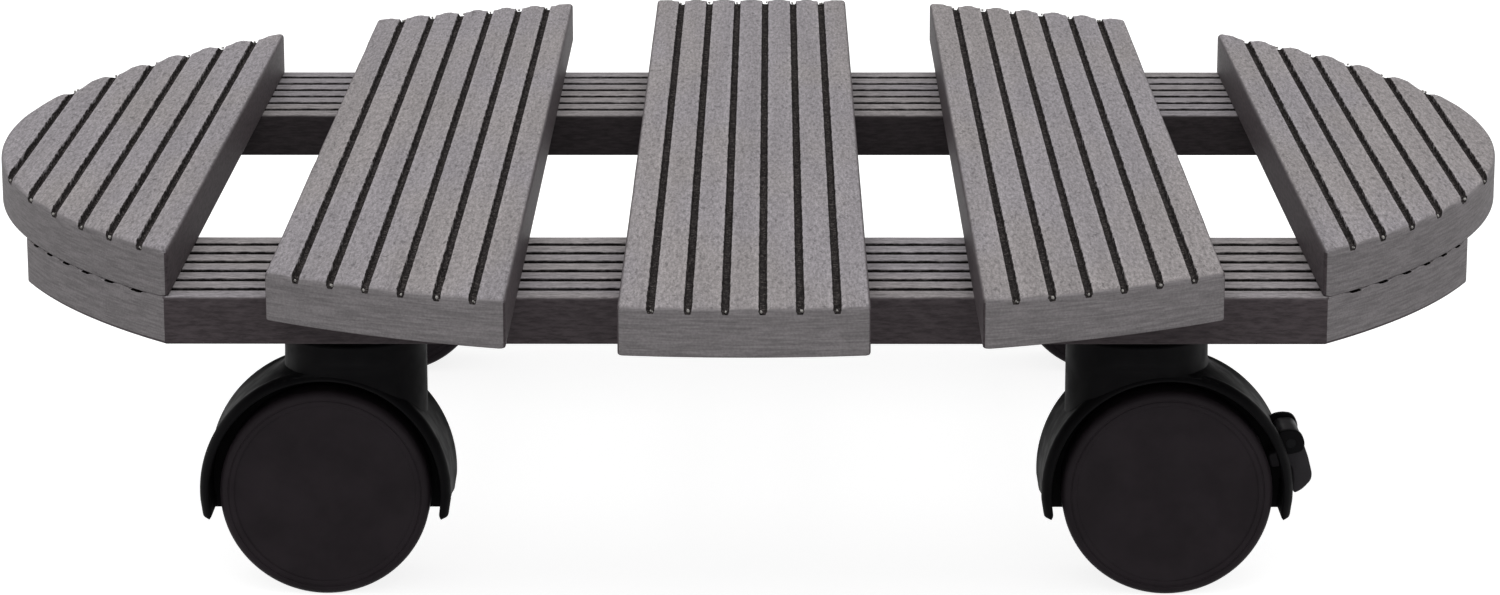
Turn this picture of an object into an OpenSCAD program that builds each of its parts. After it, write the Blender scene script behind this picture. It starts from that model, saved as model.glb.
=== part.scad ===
// Round plant caddy. Five grooved slats lie across two grooved rails and are cut to one
// circle. Four hooded twin-wheel casters swivel under the rails, and one has a brake.
// The floor is z = 0, the origin is under the middle of the deck, and the front is -Y.

/* [Deck] */
// Diameter of the round deck
deck_d = 305; // [290:1:340]
// Width of a slat
slat_w = 44.6; // [41:0.1:47]
// Gap between two slats
slat_gap = 19.9; // [17:0.1:22]
// Thickness of a slat
slat_t = 9; // [8:0.5:14]
// Width of a rail
rail_w = 49.5; // [46:0.5:56]
// Thickness of a rail
rail_t = 9; // [8:0.5:14]
// Distance from the deck's edge in to the middle of a rail
rail_inset = 69.2; // [64:0.1:74]
// Number of ridges along a board's face
ridges = 7; // [5:1:9]
// Width of the groove between two ridges
groove_w = 1.45; // [1:0.05:2.2]
// Depth of a groove
groove_depth = 1.3; // [0.8:0.1:1.6]
// How much a groove's wall leans
groove_lean = 0.25; // [0.1:0.05:0.4]
// Chamfer along the long edges of a board
board_edge = 0.7; // [0.3:0.1:1.2]

/* [Casters] */
// Distance from the deck's left or right end in to a swivel axis
caster_inset = 78.1; // [73:0.1:82]
// Distance from the swivel axis out to the axle
trail = 5.6; // [3:0.1:7]
// Side of the square mounting plate
plate_w = 36; // [34:0.5:42]
// Thickness of the mounting plate
plate_t = 1.5; // [1.4:0.1:3]
// Radius of the plate's corners
plate_corner = 4; // [2:0.5:6]
// Distance between two holes of the plate
plate_pitch = 27; // [25.5:0.5:28]
// Diameter of the neck that turns under the plate
neck_d = 27; // [23:0.5:28]
// Height of the neck above the hood
neck_h = 6; // [4:0.1:8]
// Height over which the neck is drawn in to the hood
neck_flare = 3.5; // [2:0.1:3.8]
// Diameter of the steel swivel stem
stem_d = 8; // [6:0.5:9]
// Length of the stem below its flange
stem_len = 5.2; // [4.6:0.1:5.4]
// Diameter of the stem's flange
flange_d = 16; // [12:0.5:22]
// Thickness of the stem's flange
flange_t = 1.7; // [0.8:0.1:4]
// Thickness of the spring ring that holds the stem
ring_t = 1.1; // [0.8:0.1:1.4]

/* [Hood] */
// Radial gap between a tread and the hood
tread_gap = 2; // [1.2:0.1:2.5]
// Wall of the hood over the wheels
hood_wall = 1.5; // [1.2:0.1:2.4]
// How far the hood's lip stands out of the wall
lip_proud = 0.4; // [0.2:0.1:1]
// Width of the lip
lip_w = 1.8; // [1.4:0.1:2.4]
// How far the lip stands beyond the wheel's face
lip_over = 0.4; // [0.2:0.1:1]
// How far the hood's tips reach below the axle
tip_drop = 5; // [2:0.5:6]
// Thickness of the web between the wheels
web_t = 4; // [3:0.5:6]
// Diameter of the boss that holds the axle
boss_d = 12; // [9:0.5:14]

/* [Wheels] */
// Diameter of a wheel
wheel_d = 40; // [38:0.5:50]
// Width of a wheel
wheel_w = 8.3; // [7:0.1:14]
// Rounding of the tread's shoulders
shoulder_r = 1.4; // [0.8:0.1:2]
// Wall of the rim
rim_wall = 3; // [2.5:0.1:4]
// Thickness of the wheel's face
face_t = 1.8; // [1.4:0.1:2.4]
// Depth of the disc sunk in the wheel's face
face_sink = 0.4; // [0.2:0.1:0.8]
// Width of the ring around the sunk disc
face_ring = 1.6; // [1:0.1:2.5]
// Diameter of the wheel's hub
hub_d = 10; // [9:0.5:13]
// Diameter of the axle
axle_d = 5; // [4:0.5:6]

/* [Brake] */
// Where the brake's pivot sits round the hood, up from the axle's level
brake_angle = 21; // [19:1:27]
// Width of the brake lever
lever_w = 10; // [9:0.5:14]
// Thickness of the lever's pedal
pedal_t = 4.1; // [2.8:0.1:4.5]
// How far round the hood the pedal's toe reaches, down from the pivot
pedal_sweep = 24; // [20:1:26]
// Side of the square ears that hold the pivot
ear_w = 4.2; // [4:0.1:5]
// Thickness of an ear
ear_t = 1.6; // [1.4:0.1:2.4]
// Diameter of the lever's pivot pin
pin_d = 1.8; // [1.6:0.1:2.2]

/* [Fasteners] */
// Diameter of the deck screws' shank
deck_screw_d = 4; // [3:0.1:4.5]
// Length of a deck screw
deck_screw_len = 14.5; // [12:0.1:15]
// Diameter of the deck screws' countersunk head
deck_head_d = 7.5; // [6:0.1:8]
// Distance between the two screws across a rail, on a slat next to the middle
screw_pitch = 26; // [16:1:30]
// Distance between the middle slat's two screws
middle_screw_pitch = 24; // [16:1:30]
// Diameter of the plate screws' shank
plate_screw_d = 3.5; // [3:0.1:4]
// Wood left over the tip of a plate screw
screw_cover = 2; // [1.9:0.1:4]
// Diameter of the plate screws' countersunk head
plate_head_d = 6; // [5:0.1:6.2]

/* [Fits] */
// Radial play of parts that turn on each other
run_fit = 0.05; // [0.03:0.01:0.08]
// Radial play of parts that are pressed or screwed together
press_fit = 0.02; // [0.01:0.01:0.04]
// Play between faces that turn past each other
side_play = 0.3; // [0.2:0.05:0.5]
// Play between the brake lever and what it moves past
lever_play = 0.4; // [0.3:0.05:0.6]

/* [Hidden] */
$fn = 96;

DECKING = [0.54, 0.52, 0.52];
PLASTIC = [0.09, 0.09, 0.1];
STEEL = [0.74, 0.75, 0.77];

// Margin by which a cut runs past the face it opens
cut = 1;
// Half a turn, which sends a caster's trail to the left
left_turn = 180;

// Heights, from the floor up
wheel_r = wheel_d / 2;
axle_z = wheel_r;
hood_in_r = wheel_r + tread_gap;
hood_out_r = hood_in_r + hood_wall;
lip_r = hood_out_r + lip_proud;
neck_top = axle_z + hood_out_r + neck_h;
flange_z = neck_top + side_play;
plate_z = flange_z + flange_t;
rail_z = plate_z + plate_t;
slat_z = rail_z + rail_t;

// Deck, across
deck_r = deck_d / 2;
rail_y = deck_r - rail_inset;
caster_x = deck_r - caster_inset;
slat_pitch = slat_w + slat_gap;
end_inner = 2 * slat_pitch - slat_w / 2;
end_w = deck_r - end_inner;
slat_ridge = (slat_w + groove_w) / ridges;
rail_ridge = (rail_w + groove_w) / ridges;

// Deck screws
head_margin = 8;
inner_screw_x = (slat_pitch - slat_w / 2 + caster_x - plate_w / 2) / 2;
end_screw_y = rail_y - rail_w / 2 + head_margin;
end_screw_step = 14;
recess_depth = 0.9;
recess_w = 0.7;
plate_screw_len = plate_t + rail_t - screw_cover;

// Caster, across
boss_r = boss_d / 2;
wheel_in = web_t / 2 + side_play;
hood_half = wheel_in + wheel_w + lip_over;
hub_depth = wheel_w - face_t - face_sink;
axle_half = wheel_in + hub_depth - side_play;
stem_bottom = flange_z - stem_len;
ring_groove_d = stem_d - 1.6;
ring_d = stem_d + 1.2;
ring_z = stem_bottom + 1.5;
ring_gap = 40;
tenon_d = stem_d - 1;

// Brake, in the hood's own frame: angles run up from the axle's level on the trailing side
pivot_r = hood_out_r + ear_w / 2 - lever_play;
pivot_x = trail + pivot_r * cos(brake_angle);
pivot_z = axle_z + pivot_r * sin(brake_angle);
pedal_in_r = hood_out_r + lever_play;
pedal_out_r = pedal_in_r + pedal_t;
shoe_r = wheel_r + lever_play;
shoe_low = brake_angle - 11;
shoe_high = brake_angle - 3;
window_low = brake_angle - 19;
window_high = brake_angle + 8;
ear_in = lever_w / 2 + lever_play;

function chord(y) = sqrt(deck_r * deck_r - y * y);

// Where a slat's two screws stand over one rail. place counts slats from the middle one,
// and side is -1 for the front rail and 1 for the rear rail.
function end_screw(y, place, side) =
    [sign(place) * (end_inner + chord(y + deck_head_d / 2)) / 2, side * y];
function slat_screws(place, side) =
    abs(place) == 2
        ? [end_screw(end_screw_y, place, side), end_screw(end_screw_y + end_screw_step, place, side)]
        : abs(place) == 1
            ? [for (k = [-1, 1]) [place * inner_screw_x, side * rail_y + k * screw_pitch / 2]]
            : [for (k = [-1, 1]) [k * middle_screw_pitch / 2, side * rail_y]];
function plate_hole_places() = [for (x = [-1, 1], y = [-1, 1]) [x, y] * plate_pitch / 2];
function arc(cx, cy, r, from, to, steps) =
    [for (k = [0:steps]) [cx + r * cos(from + (to - from) * k / steps),
                          cy + r * sin(from + (to - from) * k / steps)]];

// A board's cross-section, from its first edge at x = 0, with its ridges on top
module board_section(w, t, ridge) {
    grooves = floor((w - ridge / 2) / ridge);
    polygon(concat(
        [[0, board_edge], [board_edge, 0], [w - board_edge, 0], [w, board_edge]],
        [[w, t - board_edge], [w - board_edge, t]],
        [for (k = [grooves:-1:1], p = [
            [k * ridge, t],
            [k * ridge - groove_lean, t - groove_depth],
            [k * ridge - groove_w + groove_lean, t - groove_depth],
            [k * ridge - groove_w, t]
        ]) p],
        [[board_edge, t], [0, t - board_edge]]
    ));
}

// The slat at a place counted from the middle one, cut to the deck's circle
module slat(place) {
    w = abs(place) == 2 ? end_w : slat_w;
    from = abs(place) == 2 ? end_inner : abs(place) * slat_pitch - slat_w / 2;
    color(DECKING)
        difference() {
            intersection() {
                translate([0, 0, slat_z])
                    mirror([place < 0 ? 1 : 0, 0, 0])
                        translate([from, 0, 0])
                            rotate([90, 0, 0])
                                linear_extrude(height = deck_d + 2 * cut, center = true)
                                    board_section(w, slat_t, slat_ridge);
                translate([0, 0, slat_z - cut])
                    cylinder(r = deck_r, h = slat_t + 2 * cut, $fn = 240);
            }
            for (side = [-1, 1], p = slat_screws(place, side))
                translate([p.x, p.y, rail_z - cut])
                    cylinder(d = deck_screw_d + 2 * press_fit, h = deck_screw_len + cut + side_play, $fn = 32);
        }
}

// The rail on one side, cut to the same circle as the slats
module rail(side) {
    color(DECKING)
        difference() {
            intersection() {
                translate([0, side * rail_y, rail_z])
                    rotate([0, 0, 90])
                        rotate([90, 0, 0])
                            linear_extrude(height = deck_d + 2 * cut, center = true)
                                translate([-rail_w / 2, 0])
                                    board_section(rail_w, rail_t, rail_ridge);
                translate([0, 0, rail_z - cut])
                    cylinder(r = deck_r, h = rail_t + 2 * cut, $fn = 240);
            }
            for (place = [-2:2], p = slat_screws(place, side))
                translate([p.x, p.y, rail_z])
                    screw_hole(deck_screw_d, deck_head_d, rail_t, press_fit);
            for (x = [-1, 1], p = plate_hole_places())
                translate([x * caster_x + p.x, side * rail_y + p.y, rail_z - cut])
                    cylinder(d = plate_screw_d + 2 * press_fit,
                             h = plate_screw_len - plate_t + cut + side_play, $fn = 32);
        }
}

// The countersunk way of a screw through a board or a plate of thickness t
module screw_hole(d, head_d, t, play) {
    translate([0, 0, -cut])
        cylinder(d = d + 2 * play, h = t + 2 * cut, $fn = 32);
    translate([0, 0, -cut])
        cylinder(d = head_d + 2 * play, h = cut, $fn = 32);
    cylinder(d1 = head_d + 2 * play, d2 = d + 2 * play, h = (head_d - d) / 2, $fn = 32);
}

// The cross recess in a screw's head, which opens downwards at z = 0
module cross_recess(w) {
    for (turn = [0, 90])
        rotate([0, 0, turn])
            translate([-w / 2, -recess_w / 2, -cut])
                cube([w, recess_w, cut + recess_depth]);
}

// One countersunk screw with its head at z = 0, pointing up
module screw(d, length, head_d) {
    difference() {
        union() {
            cylinder(d1 = head_d, d2 = d, h = (head_d - d) / 2, $fn = 32);
            cylinder(d = d, h = length - d / 2, $fn = 32);
            translate([0, 0, length - d / 2])
                cylinder(d1 = d, d2 = d / 4, h = d / 2, $fn = 32);
        }
        cross_recess(head_d / 2);
    }
}

module deck_screws() {
    color(STEEL)
        for (place = [-2:2], side = [-1, 1], p = slat_screws(place, side))
            translate([p.x, p.y, rail_z])
                screw(deck_screw_d, deck_screw_len, deck_head_d);
}

// Sets a caster's pieces under the rails: x is -1 on the left, y is -1 at the front
module at_caster(x, y) {
    translate([x * caster_x, y * rail_y, 0])
        rotate([0, 0, x < 0 ? left_turn : 0])
            children();
}

// Square steel plate between the rail and the neck
module plate() {
    flat = plate_w / 2 - plate_corner;
    color(STEEL)
        translate([0, 0, plate_z])
            difference() {
                union() {
                    translate([-flat, -plate_w / 2, 0])
                        cube([2 * flat, plate_w, plate_t]);
                    translate([-plate_w / 2, -flat, 0])
                        cube([plate_w, 2 * flat, plate_t]);
                    for (x = [-1, 1], y = [-1, 1])
                        translate([x * flat, y * flat, 0])
                            cylinder(r = plate_corner, h = plate_t, $fn = 48);
                }
                for (p = plate_hole_places())
                    translate([p.x, p.y, 0])
                        screw_hole(plate_screw_d, plate_head_d, plate_t, run_fit);
                translate([0, 0, -cut])
                    cylinder(d = tenon_d + 2 * press_fit, h = plate_t + 2 * cut, $fn = 48);
            }
}

module plate_screws() {
    color(STEEL)
        for (p = plate_hole_places())
            translate([p.x, p.y, plate_z])
                screw(plate_screw_d, plate_screw_len, plate_head_d);
}

// Steel stem riveted into the plate, with its flange and the groove for its ring
module stem() {
    tip = stem_d / 8;
    color(STEEL)
        difference() {
            union() {
                translate([0, 0, stem_bottom])
                    cylinder(d1 = stem_d - 2 * tip, d2 = stem_d, h = tip, $fn = 64);
                translate([0, 0, stem_bottom + tip])
                    cylinder(d = stem_d, h = stem_len - tip, $fn = 64);
                translate([0, 0, flange_z])
                    cylinder(d = flange_d, h = flange_t, $fn = 64);
                translate([0, 0, plate_z])
                    cylinder(d = tenon_d, h = plate_t, $fn = 64);
            }
            translate([0, 0, ring_z - side_play / 2])
                difference() {
                    cylinder(d = stem_d + cut, h = ring_t + side_play, $fn = 64);
                    translate([0, 0, -cut])
                        cylinder(d = ring_groove_d, h = ring_t + side_play + 2 * cut, $fn = 64);
                }
        }
}

// Split spring ring in the stem's groove, which keeps the stem in its socket
module ring() {
    color(STEEL)
        translate([0, 0, ring_z])
            rotate([0, 0, ring_gap / 2])
                rotate_extrude(angle = 360 - ring_gap, $fn = 64)
                    translate([ring_groove_d / 2 + run_fit, 0])
                        square([(ring_d - ring_groove_d) / 2 - run_fit, ring_t]);
}

// A wedge round the axle, in the upright plane, between two angles
module wedge(r, half, from, to) {
    translate([trail, 0, axle_z])
        rotate([90, 0, 0])
            linear_extrude(height = 2 * half, center = true)
                polygon([[0, 0], [r * cos(from), r * sin(from)],
                         [r * cos((from + to) / 2), r * sin((from + to) / 2)],
                         [r * cos(to), r * sin(to)]]);
}

// A drum round the axle, lying along it
module drum(r, half, sides = 144) {
    translate([trail, 0, axle_z])
        rotate([90, 0, 0])
            cylinder(r = r, h = 2 * half, center = true, $fn = sides);
}

// The hood's wall and its two lips, before the tips are cut off
module hood_wall_and_lips() {
    drum(hood_out_r, hood_half);
    for (side = [-1, 1])
        translate([0, side * (hood_half - lip_w / 2), 0])
            drum(lip_r, lip_w / 2);
}

// The neck: round at the top, and drawn in to the width of the hood where it meets the lips
module neck() {
    flare_z = axle_z + hood_out_r;
    reach = neck_d / 2 + cut;
    intersection() {
        translate([0, 0, axle_z + hood_in_r / 2])
            cylinder(d = neck_d, h = neck_top - axle_z - hood_in_r / 2);
        rotate([90, 0, 90])
            linear_extrude(height = 2 * reach, center = true)
                polygon([
                    [-hood_half, axle_z], [hood_half, axle_z], [hood_half, flare_z],
                    [reach, flare_z + neck_flare], [reach, neck_top], [-reach, neck_top],
                    [-reach, flare_z + neck_flare], [-hood_half, flare_z]
                ]);
    }
}

// Everything above the hood's tips
module above_tips() {
    translate([trail - 2 * lip_r, -2 * hood_half, axle_z - tip_drop])
        cube([4 * lip_r, 4 * hood_half, 4 * lip_r]);
}

// Ear blocks for the brake's pivot, one on each side of the lever
module brake_ears() {
    for (side = [-1, 1])
        translate([pivot_x, side * (ear_in + ear_t / 2), pivot_z])
            rotate([0, -brake_angle, 0])
                cube([ear_w, ear_t, ear_w], center = true);
}

// Moulded hood: neck, wall, lips, web and bosses in one piece. brake adds the lever's
// window and its two ears.
module hood(brake = false) {
    color(PLASTIC)
        difference() {
            union() {
                difference() {
                    union() {
                        intersection() {
                            hood_wall_and_lips();
                            above_tips();
                        }
                        neck();
                        if (brake)
                            brake_ears();
                    }
                    drum(hood_in_r, hood_half + cut);
                    if (brake)
                        wedge(2 * lip_r, ear_in, window_low, window_high);
                }
                difference() {
                    intersection() {
                        drum(hood_in_r + hood_wall / 2, web_t / 2);
                        above_tips();
                    }
                    if (brake)
                        difference() {
                            wedge(2 * lip_r, web_t, window_low, window_high);
                            drum(wheel_r - tread_gap, web_t + cut);
                        }
                }
                drum(boss_r, web_t / 2, 64);
            }
            translate([0, 0, stem_bottom - side_play])
                cylinder(d = stem_d + 2 * run_fit, h = stem_len + 2 * side_play + cut, $fn = 64);
            translate([0, 0, ring_z - side_play])
                cylinder(d = ring_d + 2 * side_play, h = ring_t + 2 * side_play, $fn = 64);
            drum(axle_d / 2 + press_fit, web_t, 48);
            if (brake)
                translate([pivot_x, 0, pivot_z])
                    rotate([90, 0, 0])
                        cylinder(d = pin_d + 2 * press_fit, h = 2 * hood_half, center = true, $fn = 32);
        }
}

// Steel axle pressed through the hood's web, with chamfered ends
module axle() {
    tip = axle_d / 10;
    color(STEEL)
        translate([trail, 0, axle_z])
            rotate([90, 0, 0]) {
                cylinder(d = axle_d, h = 2 * (axle_half - tip), center = true, $fn = 48);
                for (side = [0, 1])
                    mirror([0, 0, side])
                        translate([0, 0, axle_half - tip])
                            cylinder(d1 = axle_d, d2 = axle_d - 2 * tip, h = tip, $fn = 48);
            }
}

// One wheel, a cup that opens towards the web. side is -1 towards the front.
module wheel(side) {
    rim_in = wheel_r - rim_wall;
    sunk_r = wheel_r - shoulder_r - face_ring;
    bore_r = axle_d / 2 + run_fit;
    face_y = wheel_w - face_sink;
    color(PLASTIC)
        translate([trail, side * wheel_in, axle_z])
            rotate([-90 * side, 0, 0])
                rotate_extrude($fn = 144)
                    polygon(concat(
                        [[bore_r, 0], [hub_d / 2, 0], [hub_d / 2, wheel_w - face_t - face_sink]],
                        [[rim_in, wheel_w - face_t - face_sink], [rim_in, 0]],
                        arc(wheel_r - shoulder_r, shoulder_r, shoulder_r, -90, 0, 5),
                        arc(wheel_r - shoulder_r, wheel_w - shoulder_r, shoulder_r, 0, 90, 5),
                        [[sunk_r, wheel_w], [sunk_r - face_sink, face_y], [0, face_y]],
                        [[0, hub_depth], [bore_r, hub_depth]]
                    ));
}

// Brake lever in its down position: a square head on the pin, a pedal that lies over the
// hood, and a shoe that reaches through the window to just off the treads
module brake_lever() {
    half = lever_w / 2;
    color(PLASTIC)
        difference() {
            union() {
                difference() {
                    intersection() {
                        drum(pedal_out_r, half);
                        wedge(2 * lip_r, half, brake_angle - pedal_sweep, brake_angle);
                    }
                    drum(pedal_in_r, half + cut);
                }
                difference() {
                    intersection() {
                        drum(pedal_in_r + press_fit, half);
                        wedge(2 * lip_r, half, shoe_low, shoe_high);
                    }
                    drum(shoe_r, half + cut);
                }
                translate([pivot_x, 0, pivot_z])
                    rotate([90, 0, 0])
                        cylinder(d = ear_w, h = lever_w, center = true, $fn = 48);
            }
            translate([pivot_x, 0, pivot_z])
                rotate([90, 0, 0])
                    cylinder(d = pin_d + 2 * run_fit, h = lever_w + 2 * cut, center = true, $fn = 32);
        }
}

// Steel pin held in the two ears
module brake_pin() {
    color(STEEL)
        translate([pivot_x, 0, pivot_z])
            rotate([90, 0, 0])
                cylinder(d = pin_d, h = 2 * (ear_in + ear_t), center = true, $fn = 32);
}

slat(-2);  // end_slat_left
slat(-1);  // inner_slat_left
slat(0);  // middle_slat
slat(1);  // inner_slat_right
slat(2);  // end_slat_right
rail(-1);  // front_rail
rail(1);  // rear_rail
deck_screws();

at_caster(-1, -1) plate();  // front_left_plate
at_caster(-1, -1) plate_screws();  // front_left_plate_screws
at_caster(-1, -1) stem();  // front_left_stem
at_caster(-1, -1) ring();  // front_left_ring
at_caster(-1, -1) hood();  // front_left_hood
at_caster(-1, -1) axle();  // front_left_axle
at_caster(-1, -1) wheel(1);  // front_left_front_wheel
at_caster(-1, -1) wheel(-1);  // front_left_rear_wheel

at_caster(1, -1) plate();  // front_right_plate
at_caster(1, -1) plate_screws();  // front_right_plate_screws
at_caster(1, -1) stem();  // front_right_stem
at_caster(1, -1) ring();  // front_right_ring
at_caster(1, -1) hood(brake = true);  // front_right_hood
at_caster(1, -1) axle();  // front_right_axle
at_caster(1, -1) wheel(-1);  // front_right_front_wheel
at_caster(1, -1) wheel(1);  // front_right_rear_wheel
at_caster(1, -1) brake_lever();  // front_right_brake_lever
at_caster(1, -1) brake_pin();  // front_right_brake_pin

at_caster(-1, 1) plate();  // rear_left_plate
at_caster(-1, 1) plate_screws();  // rear_left_plate_screws
at_caster(-1, 1) stem();  // rear_left_stem
at_caster(-1, 1) ring();  // rear_left_ring
at_caster(-1, 1) hood();  // rear_left_hood
at_caster(-1, 1) axle();  // rear_left_axle
at_caster(-1, 1) wheel(1);  // rear_left_front_wheel
at_caster(-1, 1) wheel(-1);  // rear_left_rear_wheel

at_caster(1, 1) plate();  // rear_right_plate
at_caster(1, 1) plate_screws();  // rear_right_plate_screws
at_caster(1, 1) stem();  // rear_right_stem
at_caster(1, 1) ring();  // rear_right_ring
at_caster(1, 1) hood();  // rear_right_hood
at_caster(1, 1) axle();  // rear_right_axle
at_caster(1, 1) wheel(-1);  // rear_right_front_wheel
at_caster(1, 1) wheel(1);  // rear_right_rear_wheel
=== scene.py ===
"""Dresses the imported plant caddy: grooved decking, hooded twin-wheel casters, steel parts, stage."""
import math
import random

import bmesh
import bpy
from bmesh.types import BMEdge, BMFace, BMVert
from bpy.props import FloatProperty, FloatVectorProperty, IntProperty, PointerProperty
from mathutils import Matrix, Vector, noise


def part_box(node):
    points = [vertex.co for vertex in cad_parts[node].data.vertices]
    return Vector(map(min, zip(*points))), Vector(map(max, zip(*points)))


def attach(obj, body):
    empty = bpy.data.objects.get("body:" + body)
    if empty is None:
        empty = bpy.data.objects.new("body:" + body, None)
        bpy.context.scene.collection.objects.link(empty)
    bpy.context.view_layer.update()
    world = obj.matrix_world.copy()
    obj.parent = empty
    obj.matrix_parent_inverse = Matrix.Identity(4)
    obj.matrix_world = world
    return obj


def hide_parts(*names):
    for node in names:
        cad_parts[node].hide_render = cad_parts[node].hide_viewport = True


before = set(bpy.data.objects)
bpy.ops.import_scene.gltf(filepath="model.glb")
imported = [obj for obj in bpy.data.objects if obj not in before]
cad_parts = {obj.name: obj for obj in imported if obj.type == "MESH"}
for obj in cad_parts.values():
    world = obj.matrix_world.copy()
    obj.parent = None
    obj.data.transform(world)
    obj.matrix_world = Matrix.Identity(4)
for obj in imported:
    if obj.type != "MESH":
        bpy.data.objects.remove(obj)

bl_info = {
    "name": "Plant Caddy",
    "version": (1, 0, 0),
    "blender": (4, 5, 0),
    "location": "View3D > Sidebar > Caddy",
    "description": "Builds the looks of a round plant caddy around its packed frame",
    "category": "Add Mesh",
}

MM = 0.001
CORNERS = ("front_left", "front_right", "rear_left", "rear_right")
BRAKED = "front_right"
SLATS = ("end_slat_left", "inner_slat_left", "middle_slat", "inner_slat_right", "end_slat_right")
RAILS = ("front_rail", "rear_rail")


# Settings

class CaddyBoards(bpy.types.PropertyGroup):
    """Sizes of the boards' grooves and edges"""
    deck_radius: FloatProperty(
        name="Deck radius", description="Radius of the circle that the boards are cut to",
        default=152.5 * MM, unit="LENGTH")
    slat_ridge: FloatProperty(
        name="Slat ridge pitch", description="Distance between two grooves of a slat",
        default=6.5786 * MM, unit="LENGTH")
    rail_ridge: FloatProperty(
        name="Rail ridge pitch", description="Distance between two grooves of a rail",
        default=7.2786 * MM, unit="LENGTH")
    grooves: IntProperty(
        name="Grooves", description="Number of grooves along a board", default=6)
    groove_shift: FloatProperty(
        name="Groove shift",
        description="How far a groove's middle stands short of its ridge pitch",
        default=0.725 * MM, unit="LENGTH")
    groove_width: FloatProperty(
        name="Groove width", description="Width of a groove between two ridges",
        default=1.5 * MM, unit="LENGTH")
    rail_groove: FloatProperty(
        name="Rail groove width", description="Width of a rail's groove between two ridges",
        default=2.5 * MM, unit="LENGTH")
    groove_depth: FloatProperty(
        name="Groove depth", description="Depth of a groove", default=1.3 * MM, unit="LENGTH")
    top_round: FloatProperty(
        name="Top rounding", description="Rounding of a board's top edges",
        default=0.8 * MM, unit="LENGTH")
    seam_round: FloatProperty(
        name="Seam rounding", description="Rounding of the edges where a slat lies on a rail",
        default=0.09 * MM, unit="LENGTH")
    under_round: FloatProperty(
        name="Under rounding", description="Rounding of a board's lower long edges",
        default=0.4 * MM, unit="LENGTH")
    screw_head: FloatProperty(
        name="Screw opening", description="Radius of a screw's opening in a rail's underside",
        default=3.78 * MM, unit="LENGTH")
    screw_shank: FloatProperty(
        name="Screw way", description="Radius of a screw's way through a rail",
        default=2.02 * MM, unit="LENGTH")
    torn_ends: FloatProperty(
        name="Torn ends",
        description="Distance from the circle over which the ridges' ends are worn",
        default=0.95 * MM, unit="LENGTH")
    corner_round: FloatProperty(
        name="Corner rounding", description="Rounding of a board's upright corners",
        default=1.0 * MM, unit="LENGTH")
    cross_cuts: FloatProperty(
        name="Cross cuts", description="Distance between the rows of faces along a board",
        default=9.0 * MM, unit="LENGTH")
    circle_steps: IntProperty(
        name="Circle steps", description="Corners of the circle that the boards are cut to",
        default=360)


class CaddyCasters(bpy.types.PropertyGroup):
    """Sizes of a caster, measured from its axle"""
    trail: FloatProperty(
        name="Trail", description="Distance from the swivel axis out to the axle",
        default=5.6 * MM, unit="LENGTH")
    wall_in: FloatProperty(
        name="Wall inside", description="Inner radius of the hood's wall",
        default=22.0 * MM, unit="LENGTH")
    wall_out: FloatProperty(
        name="Wall outside", description="Outer radius of the hood's wall",
        default=23.5 * MM, unit="LENGTH")
    hood_half: FloatProperty(
        name="Half depth", description="Distance from the hood's middle to its lip's face",
        default=11.0 * MM, unit="LENGTH")
    tip_drop: FloatProperty(
        name="Tip drop", description="How far the tips reach below the axle",
        default=5.0 * MM, unit="LENGTH")
    neck_radius: FloatProperty(
        name="Neck radius", description="Radius of the round neck",
        default=13.5 * MM, unit="LENGTH")
    neck_top: FloatProperty(
        name="Neck top", description="Height of the neck's top above the axle",
        default=29.5 * MM, unit="LENGTH")
    neck_flare: FloatProperty(
        name="Neck flare", description="Height over which the neck is drawn in to the hood",
        default=3.5 * MM, unit="LENGTH")
    web_half: FloatProperty(
        name="Half web", description="Half the thickness of the web between the wheels",
        default=2.0 * MM, unit="LENGTH")
    socket_radius: FloatProperty(
        name="Socket radius", description="Radius of the stem's socket in the neck",
        default=4.05 * MM, unit="LENGTH")
    socket_depth: FloatProperty(
        name="Socket depth", description="Depth of the stem's socket below the neck's top",
        default=5.2 * MM, unit="LENGTH")
    wheel_radius: FloatProperty(
        name="Wheel radius", description="Radius of a wheel", default=20.0 * MM, unit="LENGTH")
    wheel_width: FloatProperty(
        name="Wheel width", description="Width of a wheel", default=8.3 * MM, unit="LENGTH")
    wheel_in: FloatProperty(
        name="Wheel offset", description="Distance from the hood's middle to a wheel",
        default=2.3 * MM, unit="LENGTH")
    axle_radius: FloatProperty(
        name="Axle radius", description="Radius of the steel axle",
        default=2.5 * MM, unit="LENGTH")
    lever_half: FloatProperty(
        name="Half lever", description="Half the width of the brake lever",
        default=5.0 * MM, unit="LENGTH")
    ear_in: FloatProperty(
        name="Ear inside", description="Distance from the hood's middle to an ear",
        default=5.4 * MM, unit="LENGTH")
    ear_out: FloatProperty(
        name="Ear outside", description="Distance from the hood's middle to an ear's far side",
        default=7.0 * MM, unit="LENGTH")


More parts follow.
